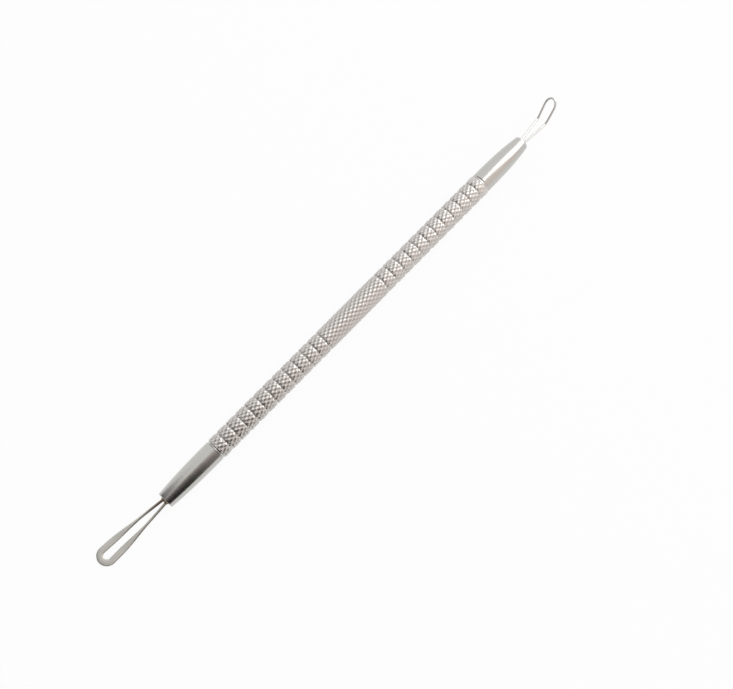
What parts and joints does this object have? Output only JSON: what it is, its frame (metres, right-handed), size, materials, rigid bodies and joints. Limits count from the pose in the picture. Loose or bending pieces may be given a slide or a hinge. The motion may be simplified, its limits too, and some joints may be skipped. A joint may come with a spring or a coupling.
{
  "type": "blackhead extractor",
  "caption": "Slim double-ended steel extractor: knurled and beaded grip, smooth tapered ends, a straight flattened wire loop and a bent round wire loop.",
  "frame": {"origin": "on the handle's axis at the middle of its plain knurled band", "axes": "+X along the handle toward the angled loop, +Z toward the side that the angled loop is bent to, +Y the side that both loops lean to"},
  "size_m": [0.118, 0.0044, 0.0057],
  "materials": {
    "turned_steel": "satin knurl between polished ends",
    "rolled_wire": "satin rolled wire, heat-tinted at its root",
    "round_wire": "polished drawn wire",
    "tinted_braze": "dull heat-tinted silver braze",
    "clean_braze": "bright silver braze, cleaned of its tint"
  },
  "bodies": {
    "root": {"handle": "turned_steel", "straight_loop": "rolled_wire", "angled_loop": "round_wire", "straight_braze": "tinted_braze", "angled_braze": "clean_braze"}
  },
  "joints": []
}
